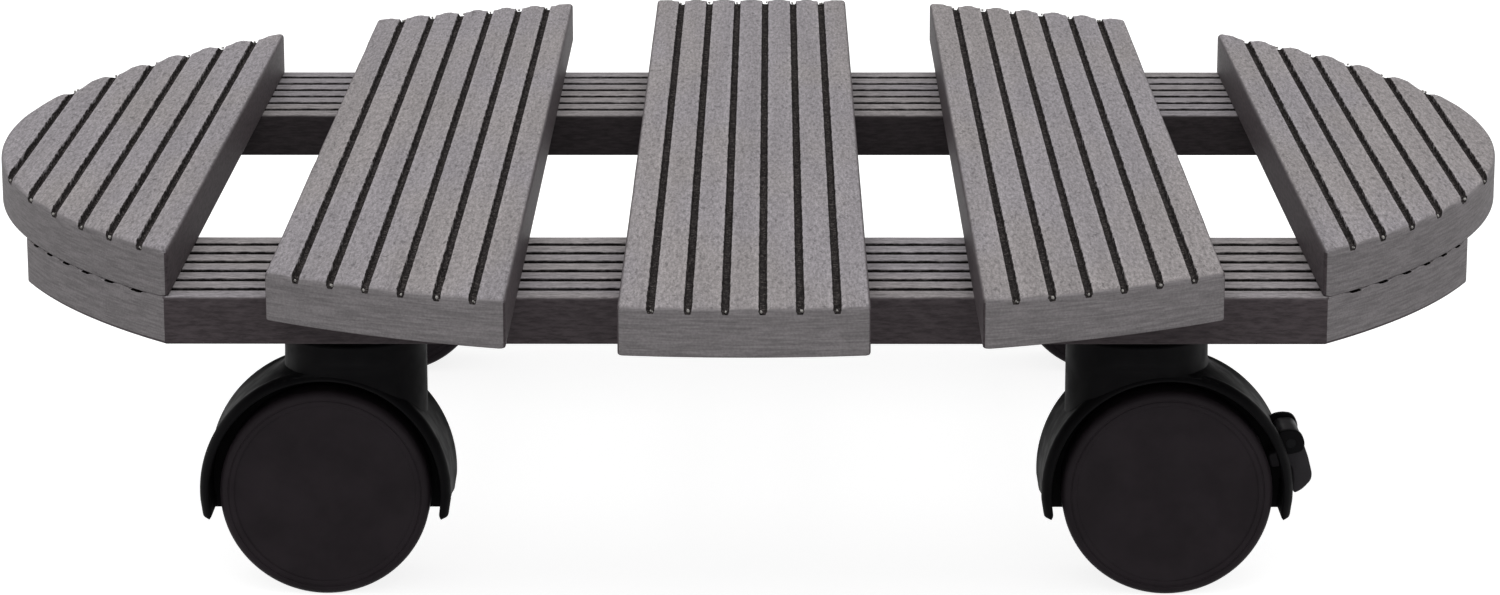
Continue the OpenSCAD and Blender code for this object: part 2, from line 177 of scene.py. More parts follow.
class CaddyLooks(bpy.types.PropertyGroup):
    """Colours of the materials, the lights and the camera"""
    brushed: FloatVectorProperty(
        name="Brushed face", description="Colour of a board's brushed top",
        default=(0.253, 0.236, 0.242), subtype="COLOR")
    skin: FloatVectorProperty(
        name="Moulded skin", description="Colour of a board's sides and underside",
        default=(0.0660, 0.0550, 0.0590), subtype="COLOR")
    # Much darker than the skin: partly the unbrushed material, partly painted shade in the grooves'
    # recess
    groove: FloatVectorProperty(
        name="Groove", description="Colour of a groove's floor",
        default=(0.0180, 0.0160, 0.0160), subtype="COLOR")
    crumb: FloatVectorProperty(
        name="Crumbs", description="Colour of the pale crumbs in a groove",
        default=(0.115, 0.102, 0.098), subtype="COLOR")
    splinter: FloatVectorProperty(
        name="Splinters", description="Colour of the splinters where a groove leaves the board",
        default=(0.40, 0.385, 0.365), subtype="COLOR")
    plastic: FloatVectorProperty(
        name="Black plastic", description="Colour of the hoods",
        default=(0.0040, 0.0038, 0.0043), subtype="COLOR")
    lever: FloatVectorProperty(
        name="Lever plastic", description="Colour of the brake lever",
        default=(0.030, 0.0275, 0.031), subtype="COLOR")
    wheel: FloatVectorProperty(
        name="Wheel plastic", description="Colour of the wheels",
        default=(0.0205, 0.0160, 0.0190), subtype="COLOR")
    # Duller than bright zinc, partly as painted shade, so the plates' edges under the rails stay dim
    steel: FloatVectorProperty(
        name="Zinc steel", description="Colour of the plated steel parts",
        default=(0.30, 0.30, 0.31), subtype="COLOR")
    # The stems are darkened as painted shade for the dim gap under the rails; the brake's pin shares
    # this blacked steel
    blacked_and_shade: FloatVectorProperty(
        name="Blacked steel", description="Colour of the stems and the brake's pin",
        default=(0.008, 0.008, 0.0085), subtype="COLOR")
    sky: FloatProperty(
        name="Sky", description="Light from all round on the object", default=0.6, min=0.0)
    key: FloatProperty(
        name="Key light", description="Power of the soft light overhead",
        default=9.0, min=0.0, unit="POWER")
    front: FloatProperty(
        name="Front light", description="Power of the soft light beside the camera",
        default=2.0, min=0.0, unit="POWER")
    lens: FloatProperty(
        name="Lens", description="Focal length of the camera in millimetres", default=113.104)


# Mesh helpers

def among(made, kind):
    """The parts of one kind among what a mesh operation made"""
    return [part for part in made["geom"] if isinstance(part, kind)]


def cut(bm, place, direction, clear=False):
    """Cuts the mesh at a plane, and clears what lies beyond it where asked"""
    bmesh.ops.bisect_plane(
        bm, geom=bm.verts[:] + bm.edges[:] + bm.faces[:], dist=1e-7,
        plane_co=place, plane_no=direction, clear_outer=clear)


def double(bm):
    """Lays a copy on a flat mesh, and gives the first corners, the copy's and the first rim"""
    copy = bmesh.ops.duplicate(bm, geom=bm.verts[:] + bm.edges[:] + bm.faces[:])
    under = set(among(copy, BMVert))
    upper = [v for v in bm.verts if v not in under]
    rim = [e for e in bm.edges if e.is_boundary and e.verts[0] not in under]
    return upper, under, rim


def wall_from(bm, rim):
    """Extrudes a rim, and gives the wall's faces with its new corners and rim"""
    made = bmesh.ops.extrude_edge_only(bm, edges=rim)
    corners = set(among(made, BMVert))
    edges = [e for e in among(made, BMEdge) if e.verts[0] in corners and e.verts[1] in corners]
    return among(made, BMFace), corners, edges


def add_object(name, data):
    """A new object in the scene with the data"""
    made = bpy.data.objects.new(name, data)
    bpy.context.scene.collection.objects.link(made)
    return made


def smooth(mesh, angle=35.0):
    """Shades a mesh smooth, with sharp edges beyond the angle"""
    mesh.shade_smooth()
    mesh.set_sharp_from_angle(angle=math.radians(angle))


def to_object(bm, name, angle=35.0):
    """Turns a mesh into a smooth shaded object with sharp edges beyond the angle"""
    bmesh.ops.recalc_face_normals(bm, faces=bm.faces[:])
    mesh = bpy.data.meshes.new(name)
    bm.to_mesh(mesh)
    bm.free()
    smooth(mesh, angle)
    return add_object(name, mesh)


def placed_copy(source, place, name):
    """A new object with a copy of another's mesh, moved to its place"""
    mesh = source.data.copy()
    mesh.transform(place)
    return add_object(name, mesh)


def combine(target, other, operation):
    """Joins another object to the target or cuts it out, and removes the other"""
    modifier = target.modifiers.new("Combine", "BOOLEAN")
    modifier.object = other
    modifier.operation = operation
    modifier.solver = "EXACT"
    graph = bpy.context.evaluated_depsgraph_get()
    mesh = bpy.data.meshes.new_from_object(target.evaluated_get(graph))
    target.modifiers.clear()
    bm = bmesh.new()
    bm.from_mesh(mesh)
    bmesh.ops.remove_doubles(bm, verts=bm.verts[:], dist=2e-6)
    bmesh.ops.dissolve_degenerate(bm, edges=bm.edges[:], dist=1e-6)
    bm.to_mesh(mesh)
    bm.free()
    old = target.data
    target.data = mesh
    bpy.data.meshes.remove(old)
    bpy.data.objects.remove(other)


def extrude_outline(points, half, name, round_by=0.0):
    """An outline in the upright plane, made solid to half its thickness on both sides"""
    bm = bmesh.new()
    corners = [bm.verts.new((x, -half, z)) for x, z in points]
    face = bm.faces.new(corners)
    solid = bmesh.ops.extrude_face_region(bm, geom=[face])
    bmesh.ops.translate(bm, verts=among(solid, BMVert), vec=(0, 2 * half, 0))
    bmesh.ops.recalc_face_normals(bm, faces=bm.faces[:])
    if round_by:
        rims = [e for e in bm.edges if abs(e.verts[0].co.y - e.verts[1].co.y) < 1e-9]
        bmesh.ops.bevel(
            bm, geom=rims, offset=round_by, offset_type="OFFSET", segments=3,
            profile=0.5, affect="EDGES", clamp_overlap=True, material=-1)
    return to_object(bm, name)


def rounded(points, radius, steps=4):
    """An outline with each corner rounded to about the radius"""
    out = []
    count = len(points)
    for k in range(count):
        here = Vector(points[k])
        before = Vector(points[k - 1]) - here
        after = Vector(points[(k + 1) % count]) - here
        reach = min(radius, 0.45 * before.length, 0.45 * after.length)
        start = here + before.normalized() * reach
        end = here + after.normalized() * reach
        for step in range(steps + 1):
            t = step / steps
            point = (1 - t) ** 2 * start + 2 * t * (1 - t) * here + t * t * end
            out.append((point.x, point.y))
    return out


def drum(radius, half, name, place=(0, 0, 0), lying=True, segments=96):
    """A round bar about the axle's line, or upright, with its ends half its length away"""
    bm = bmesh.new()
    bmesh.ops.create_cone(
        bm, cap_ends=True, segments=segments, radius1=radius, radius2=radius, depth=2 * half)
    turn = Matrix.Rotation(math.radians(90), 4, "X") if lying else Matrix.Identity(4)
    bmesh.ops.transform(bm, matrix=Matrix.Translation(place) @ turn, verts=bm.verts[:])
    return to_object(bm, name)


def join_rings(bm, rings):
    """Adds the faces between each ring of corners and the next"""
    for outer, inner in zip(rings, rings[1:]):
        for k in range(len(outer)):
            bm.faces.new((outer[k - 1], outer[k], inner[k], inner[k - 1]))


def ringed_disc(bm, radii, segments):
    """A flat disc made of rings of faces, from the outermost radius in to its middle"""
    turns = [2 * math.pi * k / segments for k in range(segments)]
    rings = [[bm.verts.new((radius * math.cos(t), radius * math.sin(t), 0.0)) for t in turns]
             for radius in radii]
    middle = bm.verts.new((0.0, 0.0, 0.0))
    for k in range(segments):
        after = (k + 1) % segments
        for outer, inner in zip(rings, rings[1:]):
            bm.faces.new((outer[k], outer[after], inner[after], inner[k]))
        bm.faces.new((rings[-1][k], rings[-1][after], middle))


def axle_place(corner, turn):
    """Moves a part to a caster's axle, turned by so many degrees"""
    low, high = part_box(corner + "_axle")
    return Matrix.Translation((low + high) / 2) @ Matrix.Rotation(math.radians(turn), 4, "Z")


def caster_place(corner):
    """Where a caster's axle stands, and which way its trail points"""
    return axle_place(corner, 180.0 if "left" in corner else 0.0)


# Decking

# Millimetres in from a board's outline to each ring of corners on its top
RING_INSETS = (0.0, 0.06, 0.16, 0.3, 0.5, 0.75, 0.95, 1.7, 2.8)


def groove_profile(half, deep):
    """Offsets from a groove's middle with the depth at each"""
    shape = ((0.0, 1.0), (0.56, 1.0), (0.72, 0.92), (0.82, 0.70), (0.90, 0.38), (0.96, 0.16),
             (1.04, 0.05), (1.2, 0.01), (1.5, 0.0), (2.3, 0.0), (3.4, 0.0))
    return [(part * half, share * deep) for part, share in shape]


def depth_at(across, middles, profile):
    """How deep the grooves are at a place across the board"""
    away = min(abs(across - middle) for middle in middles)
    for (near, deep), (far, less) in zip(profile, profile[1:]):
        if away <= far:
            return deep + (less - deep) * (away - near) / (far - near)
    return 0.0


def edge_drop(distance, radius):
    """How far a rounded edge lies below its face at a distance from the outline"""
    if distance >= radius:
        return 0.0
    inward = radius - max(distance, 0.0)
    return radius - math.sqrt(max(radius * radius - inward * inward, 0.0))


def arc(centre, size, start, end, steps):
    """Points along an arc, its angles in radians"""
    angles = [start + (end - start) * k / steps for k in range(steps + 1)]
    return [(centre[0] + size * math.cos(a), centre[1] + size * math.sin(a)) for a in angles]


def board_outline(sizes, left, right, open_low, open_high, inset=0.0):
    """The circle cut off at a board's sides, its upright corners rounded, drawn in by the inset"""
    steps = math.ceil(sizes.circle_steps * (right - left) / (4 * sizes.deck_radius)) * 2
    corner_steps = 6
    least_turn = 0.12 * MM
    radius = sizes.deck_radius - inset
    turn = max(sizes.corner_round - inset, least_turn)
    start, end = 0.0, math.pi
    upper = []
    tail = []
    if open_high:
        x = right - inset - turn
        y = math.sqrt((radius - turn) ** 2 - x * x)
        start = math.atan2(y, x)
        upper = arc((x, y), turn, 0.0, start, corner_steps)[:-1]
    if open_low:
        x = left + inset + turn
        y = math.sqrt((radius - turn) ** 2 - x * x)
        end = math.atan2(y, x)
        tail = arc((x, y), turn, end, math.pi, corner_steps)[1:]
    upper += arc((0.0, 0.0), radius, start, end, steps) + tail
    lower = [(x, -y) for x, y in reversed(upper) if abs(y) > 1e-7]
    return upper + lower


def build_board(node, sizes, rail):
    """One board: the circle cut to the board's sides, with grooves and rounded edges"""
    low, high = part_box(node)
    radius = sizes.deck_radius
    side = (low.y, high.y) if rail else (low.x, high.x)
    ridge = sizes.rail_ridge if rail else sizes.slat_ridge
    step = -1 if node.endswith("left") else 1
    first = side[0] if step > 0 else side[1]
    middles = [first + step * (k * ridge - sizes.groove_shift) for k in range(1, sizes.grooves + 1)]
    half_groove = (sizes.rail_groove if rail else sizes.groove_width) / 2
    profile = groove_profile(half_groove, sizes.groove_depth)
    far_wear = 2.6 * MM
    hump_height = 1.3 * MM
    hump_reach = 2.2 * MM
    bare_rim = 0.15 * MM
    wall_levels = (high.z - 1.7 * MM, low.z + 0.8 * MM, low.z)

    open_low = side[0] > -radius + MM
    open_high = side[1] < radius - MM
    bm = bmesh.new()
    rings = []
    for inset in RING_INSETS:
        outline = board_outline(sizes, side[0], side[1], open_low, open_high, inset * MM)
        rings.append([bm.verts.new((x, y, 0.0)) for x, y in outline])
    join_rings(bm, rings)
    bm.faces.new(rings[-1])
    for centre in middles:
        for offset, _ in profile:
            cut(bm, (centre + offset, 0, 0), (1, 0, 0))
            if offset:
                cut(bm, (centre - offset, 0, 0), (1, 0, 0))
    rows = math.ceil(radius / sizes.cross_cuts)
    for row in range(1 - rows, rows):
        cut(bm, (0, row * sizes.cross_cuts, 0), (0, 1, 0))

    def to_circle(co):
        return radius - math.hypot(co.x, co.y)

    def to_side(co):
        away = []
        if open_low:
            away.append(co.x - side[0])
        if open_high:
            away.append(side[1] - co.x)
        return min(away)

    def groove_depth(co):
        """Depth of the grooves, wide and shallow where the saw tore the ridges' ends"""
        near = to_circle(co)
        torn = max(0.0, 1.0 - near / sizes.torn_ends)
        deep = depth_at(co.x, middles, profile)
        away = min(abs(co.x - middle) for middle in middles) - half_groove
        worn = max(0.0, 1.0 - near / far_wear) if co.y > 0 and not rail else 0.6 * torn
        hump = hump_height * (worn * max(0.0, 1.0 - max(away, 0.0) / hump_reach)) ** 1.5
        kept = 1.0 - 0.85 * torn if rail else 1.0
        return max(deep * kept, hump)

    def rough(co):
        """How many times its size the edge's rounding has at a place"""
        spot = Vector((co.x, co.y, low.z)) * 90.0
        return 1.0 + 0.28 * noise.noise(spot)

    top_cut = sizes.seam_round if rail else sizes.top_round
    low_cut = sizes.top_round * 0.75 if rail else sizes.seam_round

    def rim_drop(co, at_circle, at_side):
        """The drop of the rounded rim, with the two roundings run together at a corner"""
        turn = sizes.corner_round
        corners = ((open_low, side[0] + turn, -1), (open_high, side[1] - turn, 1))
        for is_open, x, outward in corners:
            if not is_open:
                continue
            y = math.sqrt((radius - turn) ** 2 - x * x)
            fan = math.atan2(y, outward * x)
            off = Vector((outward * (co.x - x), abs(co.y) - y))
            angle = math.atan2(off.y, off.x)
            if 0.0 < angle < fan:
                inside = turn - off.length
                return edge_drop(inside, at_side + (at_circle - at_side) * angle / fan)
        return max(edge_drop(to_circle(co), at_circle), edge_drop(to_side(co), at_side))

    def top_z(co):
        drop = max(
            rim_drop(co, top_cut * rough(co), sizes.top_round * rough(co)),
            groove_depth(co))
        return high.z - drop

    def low_z(co):
        return low.z + rim_drop(co, low_cut, sizes.under_round)

    upper, under, rim = double(bm)
    wall_faces = set()
    for level in wall_levels:
        faces, lowered, rim = wall_from(bm, rim)
        wall_faces.update(faces)
        for v in lowered:
            v.co.z = level
    upper_faces = {f for f in bm.faces if f not in wall_faces and f.verts[0] not in under}
    for v in upper:
        v.co.z = top_z(v.co)
    for v in list(under) + list(lowered):
        v.co.z = low_z(v.co)

    layer = bm.loops.layers.float_color.new("finish")
    for face in bm.faces:
        flat = face.calc_center_median()
        is_cut = face in wall_faces and to_circle(flat) < to_side(flat)
        for loop in face.loops:
            co = loop.vert.co
            if face in upper_faces:
                ends = 1.0 - min(max(to_circle(co), 0.0) / top_cut, 1.0)
                sides = 1.0 - min(max(to_side(co), 0.0) / (0.8 * sizes.top_round), 1.0)
                nearest = min(abs(co.x - m) for m in middles) / half_groove
                # Share of a groove's floor, which the material paints dark, partly as painted shade
                deep = min(max(1.5 - nearest, 0.0), 1.0)
                if rail:
                    deep *= min(max(to_circle(co) / bare_rim, 0.0), 1.0)
                # A ridge's crest beside a groove; the material paints it lighter, partly as wear and
                # partly as a painted highlight
                crest = max(0.0, 1.0 - abs(nearest - 1.25) / 0.5)
                loop[layer] = (ends, deep, sides, crest)
            elif is_cut:
                loop[layer] = (1.0, 0.0, 0.0, 0.0)
            else:
                loop[layer] = (0.0, 0.0, 1.0, 0.0)

    bmesh.ops.remove_doubles(bm, verts=bm.verts[:], dist=2e-7)
    if not rail:
        add_splinters(bm, layer, middles, radius, high.z - sizes.groove_depth)
    if rail:
        for v in bm.verts:
            v.co.x, v.co.y = v.co.y, v.co.x
    board = to_object(bm, "board_" + node, 42.0)
    if rail:
        combine(board, screw_cutter(sizes, low, high), "DIFFERENCE")
    return board


def add_splinters(bm, layer, middles, radius, floor):
    """Pale splinters that stand in the grooves' ends, where the saw left them"""
    chance = random.Random(7)
    for middle in middles:
        for end in (-1, 1):
            for _ in range(chance.choice((1, 1, 2, 2))):
                x = middle + chance.uniform(-0.4, 0.4) * MM
                y = end * (math.sqrt(radius * radius - x * x) - chance.uniform(0.5, 0.9) * MM)
                size = chance.uniform(0.4, 0.95) * MM
                stretch = Matrix.Diagonal((0.34 * size, 0.45 * size, 0.42 * size, 1.0))
                lean = Matrix.Rotation(chance.uniform(-0.6, 0.6), 4, "Y")
                spot = Matrix.Translation((x, y, floor + chance.uniform(0.25, 0.6) * MM))
                made = bmesh.ops.create_icosphere(
                    bm, subdivisions=1, radius=1.0, matrix=spot @ lean @ stretch)
                for v in made["verts"]:
                    for loop in v.link_loops:
                        loop[layer] = (0.0, 0.0, 0.0, 2.0)


def screw_places(low, high):
    """Where the deck screws stand within a rail's sides"""
    screw_span = 8 * MM
    groups = []
    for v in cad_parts["deck_screws"].data.vertices:
        if low.y < v.co.y < high.y:
            spot = v.co.xy
            for group in groups:
                if (group[0] - spot).length < screw_span:
                    group.append(spot)
                    break
            else:
                groups.append([spot])
    places = []
    for group in groups:
        across = [spot.x for spot in group]
        along = [spot.y for spot in group]
        places.append(((min(across) + max(across)) / 2, (min(along) + max(along)) / 2))
    return places


def screw_cutter(sizes, low, high):
    """The countersunk openings of the deck screws that lie within a rail's sides"""
    head, shank = sizes.screw_head, sizes.screw_shank
    section = ((head, -MM), (head, 0.0), (shank, head - shank), (shank, head - shank + 6 * MM))
    bm = bmesh.new()
    for place in screw_places(low, high):
        rings = []
        for radius, up in section:
            ring = arc(place, radius, 0.0, 2 * math.pi, 40)[:-1]
            rings.append([bm.verts.new((*point, low.z + up)) for point in ring])
        join_rings(bm, rings)
        bm.faces.new(rings[0])
        bm.faces.new(rings[-1])
    return to_object(bm, "screw_cutter")


# Casters

def hood_profile(sizes):
    """The wall's section: radius from the axle and distance from the hood's middle"""
    wide = sizes.hood_half
    inner = sizes.wall_in
    outer = sizes.wall_out
    lip = outer + 0.4 * MM
    face = ((0.0, 0.7), (0.08, 0.32), (0.26, 0.08), (0.5, 0.0), (0.8, 0.1), (1.1, 0.32),
            (1.4, 0.65), (1.65, 1.05))
    crown = ((0.08, 1.5), (0.0, 2.1), (0.08, 2.9), (0.24, 4.0))
    half = [(inner, 0.0)]
    half += [(inner + out * MM, wide - back * MM) for out, back in face]
    half += [(lip - down * MM, wide - back * MM) for down, back in crown]
    half += [(outer, wide - 6.0 * MM), (outer, 0.0)]
    front = [(r, -y) for r, y in half]
    back = [(r, y) for r, y in reversed(half)]
    return front[:-1] + back[:-1]


def build_wall(sizes):
    """The hood's wall with its lips, turned about the axle and rounded at the tips"""
    section = hood_profile(sizes)
    centre = 0.5 * (sizes.wall_in + sizes.wall_out)
    reach = math.asin(sizes.tip_drop / centre)
    sweep = math.pi + 2 * reach
    steps = 132
    bm = bmesh.new()
    ring = [bm.verts.new((r, y, 0.0)) for r, y in section]
    edges = [bm.edges.new((ring[k - 1], ring[k])) for k in range(len(ring))]
    bmesh.ops.spin(
        bm, geom=ring + edges, cent=(0, 0, 0), axis=(0, -1, 0), dvec=(0, 0, 0),
        angle=sweep, steps=steps, use_merge=False, use_normal_flip=False, use_duplicate=False)
    tip_length = 0.95 * MM
    tip_rows = (0.0, 0.06, 0.2, 0.42, 0.68, 1.0)
    lip = sizes.wall_out + 0.4 * MM
    wear_length = 2.4 * MM
    wear_depth = 0.3 * MM
    for v in bm.verts:
        angle = math.atan2(v.co.z, v.co.x) % (2 * math.pi)
        row = round(angle / sweep * steps)
        radius = math.hypot(v.co.x, v.co.z)
        near = min(row, steps - row)
        if near < len(tip_rows):
            turned = tip_rows[near] * tip_length / centre
            angle = turned if row < steps / 2 else sweep - turned
            shrink = max(math.sqrt(1.0 - (1.0 - tip_rows[near]) ** 2), 0.12)
            middle = sizes.wall_in + 0.6 * MM
            radius = middle + (radius - middle) * shrink
        past = min(angle, sweep - angle) * centre
        worn = max(0.0, 1.0 - past / wear_length) ** 1.6
        radius = min(radius, lip - wear_depth * worn)
        angle -= reach
        v.co.x = radius * math.cos(angle)
        v.co.z = radius * math.sin(angle)
    bmesh.ops.holes_fill(bm, edges=[e for e in bm.edges if e.is_boundary], sides=0)
    return to_object(bm, "hood_wall")


def neck_spread(sizes, co, height):
    """How many times wider the neck stands at a height where it runs out into the hood"""
    away = math.hypot(co.x, co.y)
    if co.x <= 0 or away < 1e-6:
        return 1.0
    facing = co.x / away
    overlap = 0.1 * MM
    saddle_slope = 2.4
    blend = 2.8 * MM
    shell = sizes.wall_out - overlap
    if height < shell:
        behind = math.sqrt(shell * shell - height * height) + sizes.trail
    else:
        behind = sizes.trail - saddle_slope * (height - shell)
    waist = sizes.hood_half - overlap
    reach = min(behind / facing, waist / max(abs(co.y) / away, 1e-6))
    fade = min(facing / 0.6, 1.0)
    fade = fade * fade * (3.0 - 2.0 * fade)
    over = reach - sizes.neck_radius
    return 1.0 + fade * blend * math.log1p(math.exp(over / blend)) / sizes.neck_radius


def build_neck(sizes):
    """The round neck, drawn in to the hood's width and run out into the hood behind it"""
    bm = bmesh.new()
    insets = (0.0, 0.08, 0.2, 0.36, 0.6, 1.8, 3.6, 5.6, 7.8, 10.2)
    ringed_disc(bm, [sizes.neck_radius - inset * MM for inset in insets], 96)
    upper, lower, rim = double(bm)
    hollow = sizes.wall_in + 0.55 * MM
    foot = 17.0 * MM
    top_round = 0.4 * MM

    def bed(co):
        from_axle = co.x * neck_spread(sizes, co, foot) - sizes.trail
        return math.sqrt(max(hollow * hollow - from_axle * from_axle, 0.0))

    for v in upper:
        v.co.z = sizes.neck_top - edge_drop(sizes.neck_radius - v.co.xy.length, top_round)
    for v in lower:
        v.co.z = bed(v.co)
    flare_low = sizes.wall_out
    flare_high = sizes.wall_out + sizes.neck_flare
    levels = [sizes.neck_top - 0.45 * MM, flare_high]
    levels += [flare_high - sizes.neck_flare * k / 7 for k in range(1, 8)]
    levels += [flare_low - down * MM for down in (0.6, 1.2, 1.8, 2.5, 3.3, 4.3, 5.4, 6.5)]
    for level in levels + [0.0]:
        _, lowest, rim = wall_from(bm, rim)
        for v in lowest:
            v.co.z = max(level, bed(v.co))
    waist = sizes.hood_half - 0.1 * MM
    full = sizes.neck_radius
    for v in bm.verts:
        fall = min(max((flare_high - v.co.z) / sizes.neck_flare, 0.0), 1.0)
        limit = waist + (full - waist) * math.cos(fall * math.pi / 2) ** 1.6
        height = foot if v in lower or v in lowest else v.co.z
        scale = neck_spread(sizes, v.co, height)
        v.co.x *= scale
        wide = abs(v.co.y) * scale
        ease = full * 0.12
        if fall > 0 and wide > limit - ease:
            over = wide - (limit - ease)
            wide = limit - ease * math.exp(-over / ease)
        v.co.y = math.copysign(wide, v.co.y)
    bmesh.ops.translate(bm, verts=bm.verts[:], vec=(-sizes.trail, 0, 0))
    bmesh.ops.remove_doubles(bm, verts=bm.verts[:], dist=1e-6)
    return to_object(bm, "hood_neck")


def build_web(sizes):
    """The web between the wheels, cut off level with the hood's tips"""
    bm = bmesh.new()
    bmesh.ops.create_circle(
        bm, cap_ends=True, segments=180, radius=0.5 * (sizes.wall_in + sizes.wall_out))
    cut(bm, (0, -sizes.tip_drop, 0), (0, -1, 0), True)
    solid = bmesh.ops.extrude_face_region(bm, geom=bm.faces[:])
    bmesh.ops.translate(bm, verts=among(solid, BMVert), vec=(0, 0, 2 * sizes.web_half))
    bmesh.ops.translate(bm, verts=bm.verts[:], vec=(0, 0, -sizes.web_half))
    bmesh.ops.transform(
        bm, matrix=Matrix.Rotation(math.radians(90), 4, "X"), verts=bm.verts[:])
    return to_object(bm, "hood_web")


def polar(radius, angle):
    """A point of the upright plane, at an angle up from the axle's level"""
    return radius * math.cos(math.radians(angle)), radius * math.sin(math.radians(angle))


def pin_way(radius, name):
    """A long bar on the line of the brake's pin, to cut its way with"""
    x, z = polar(25.2 * MM, 21.0)
    return drum(radius, 12 * MM, name, (x, 0.0, z), segments=32)


def build_hood(sizes, brake):
    """One hood, joined from its wall, neck and web, with the brake's ears and window"""
    hood = build_wall(sizes)
    combine(hood, build_neck(sizes), "UNION")
    if brake:
        near, far, low, high = 19.0 * MM, 40 * MM, 2.0, 29.0
        wedge = [polar(near, low), polar(far, low), polar(far, high), polar(near, high)]
        combine(hood, extrude_outline(wedge, sizes.ear_in, "window"), "DIFFERENCE")
        block = [(20.3, 9.9), (21.2, 11.3), (23.0, 11.7), (24.8, 11.5), (25.7, 10.6), (26.2, 9.2),
                 (26.0, 7.6), (24.4, 7.0), (22.2, 6.7)]
        outline = rounded([(x * MM, z * MM) for x, z in block], 0.9 * MM)
        thick = 0.5 * (sizes.ear_out - sizes.ear_in)
        for side in (-1, 1):
            ear = extrude_outline(outline, thick, "ear", 0.3 * MM)
            ear.data.transform(Matrix.Translation((0, side * (sizes.ear_in + thick), 0)))
            combine(hood, ear, "UNION")
    combine(hood, build_web(sizes), "UNION")
    top = sizes.neck_top
    socket = drum(sizes.socket_radius, sizes.socket_depth / 2 + MM, "socket",
                  (-sizes.trail, 0, top - sizes.socket_depth / 2 + MM), False, 64)
    combine(hood, socket, "DIFFERENCE")
    combine(hood, drum(sizes.axle_radius + 0.02 * MM, 4 * MM, "bore", segments=64), "DIFFERENCE")
    if brake:
        combine(hood, pin_way(0.92 * MM, "pin_way"), "DIFFERENCE")
    return hood


def build_wheel(sizes):
    """One wheel facing the front: a cup with a ringed face and rounded shoulders"""
    outer = sizes.wheel_radius
    wide = sizes.wheel_width
    shoulder = 1.4 * MM
    disc = wide - 0.4 * MM
    bore = sizes.axle_radius + 0.05 * MM
    inside = wide - 2.2 * MM
    section = [(bore, 0.0), (4.8 * MM, 0.0), (5.0 * MM, 0.2 * MM), (5.0 * MM, inside - 0.5 * MM),
               (5.5 * MM, inside), (16.5 * MM, inside), (17.0 * MM, inside - 0.5 * MM),
               (17.0 * MM, 0.25 * MM), (17.2 * MM, 0.0)]
    section += arc((outer - shoulder, shoulder), shoulder, -math.pi / 2, 0.0, 8)
    section += arc((outer - shoulder, wide - shoulder), shoulder, 0.0, math.pi / 2, 8)
    ring = ((18.45, 0.0), (18.35, 0.12), (18.2, 0.12), (18.1, 0.02), (17.95, 0.0), (17.5, 0.0),
            (17.3, 0.06))
    section += [(radius * MM, wide - down * MM) for radius, down in ring]
    section += [(17.1 * MM, disc + 0.1 * MM), (16.9 * MM, disc), (6.0 * MM, disc - 0.03 * MM),
                (0.0, disc - 0.03 * MM)]
    bm = bmesh.new()
    chain = [bm.verts.new((r, -y, 0.0)) for r, y in section]
    chain += [bm.verts.new((0.0, -inside, 0.0)), bm.verts.new((bore, -inside, 0.0))]
    edges = [bm.edges.new(chain[k:k + 2]) for k in range(len(chain) - 1) if k != len(section) - 1]
    edges.append(bm.edges.new((chain[-1], chain[0])))
    bmesh.ops.spin(
        bm, geom=chain + edges, cent=(0, 0, 0), axis=(0, -1, 0), dvec=(0, 0, 0),
        angle=2 * math.pi, steps=144, use_merge=True, use_normal_flip=False, use_duplicate=False)
    bmesh.ops.remove_doubles(bm, verts=bm.verts[:], dist=1e-6)
    bmesh.ops.translate(bm, verts=bm.verts[:], vec=(0, -sizes.wheel_in, 0))
    return to_object(bm, "wheel", 30.0)


def build_lever(sizes):
    """The brake lever: its head on the pin, the pedal over the hood, and the shoe"""
    tab = [(21.2, 10.1), (22.2, 11.0), (24.6, 11.1), (25.6, 10.2), (26.1, 8.6), (27.1, 5.9),
           (27.95, 2.5), (27.8, 1.2), (26.2, -0.6), (24.7, -1.4), (24.2, -0.6), (24.25, 1.9),
           (23.85, 4.2), (20.05, 3.7), (19.4, 6.2), (22.0, 7.3)]
    outline = rounded([(x * MM, z * MM) for x, z in tab], 0.8 * MM)
    lever = extrude_outline(outline, sizes.lever_half, "lever", 0.45 * MM)
    combine(lever, pin_way(0.95 * MM, "lever_way"), "DIFFERENCE")
    return lever


# Materials

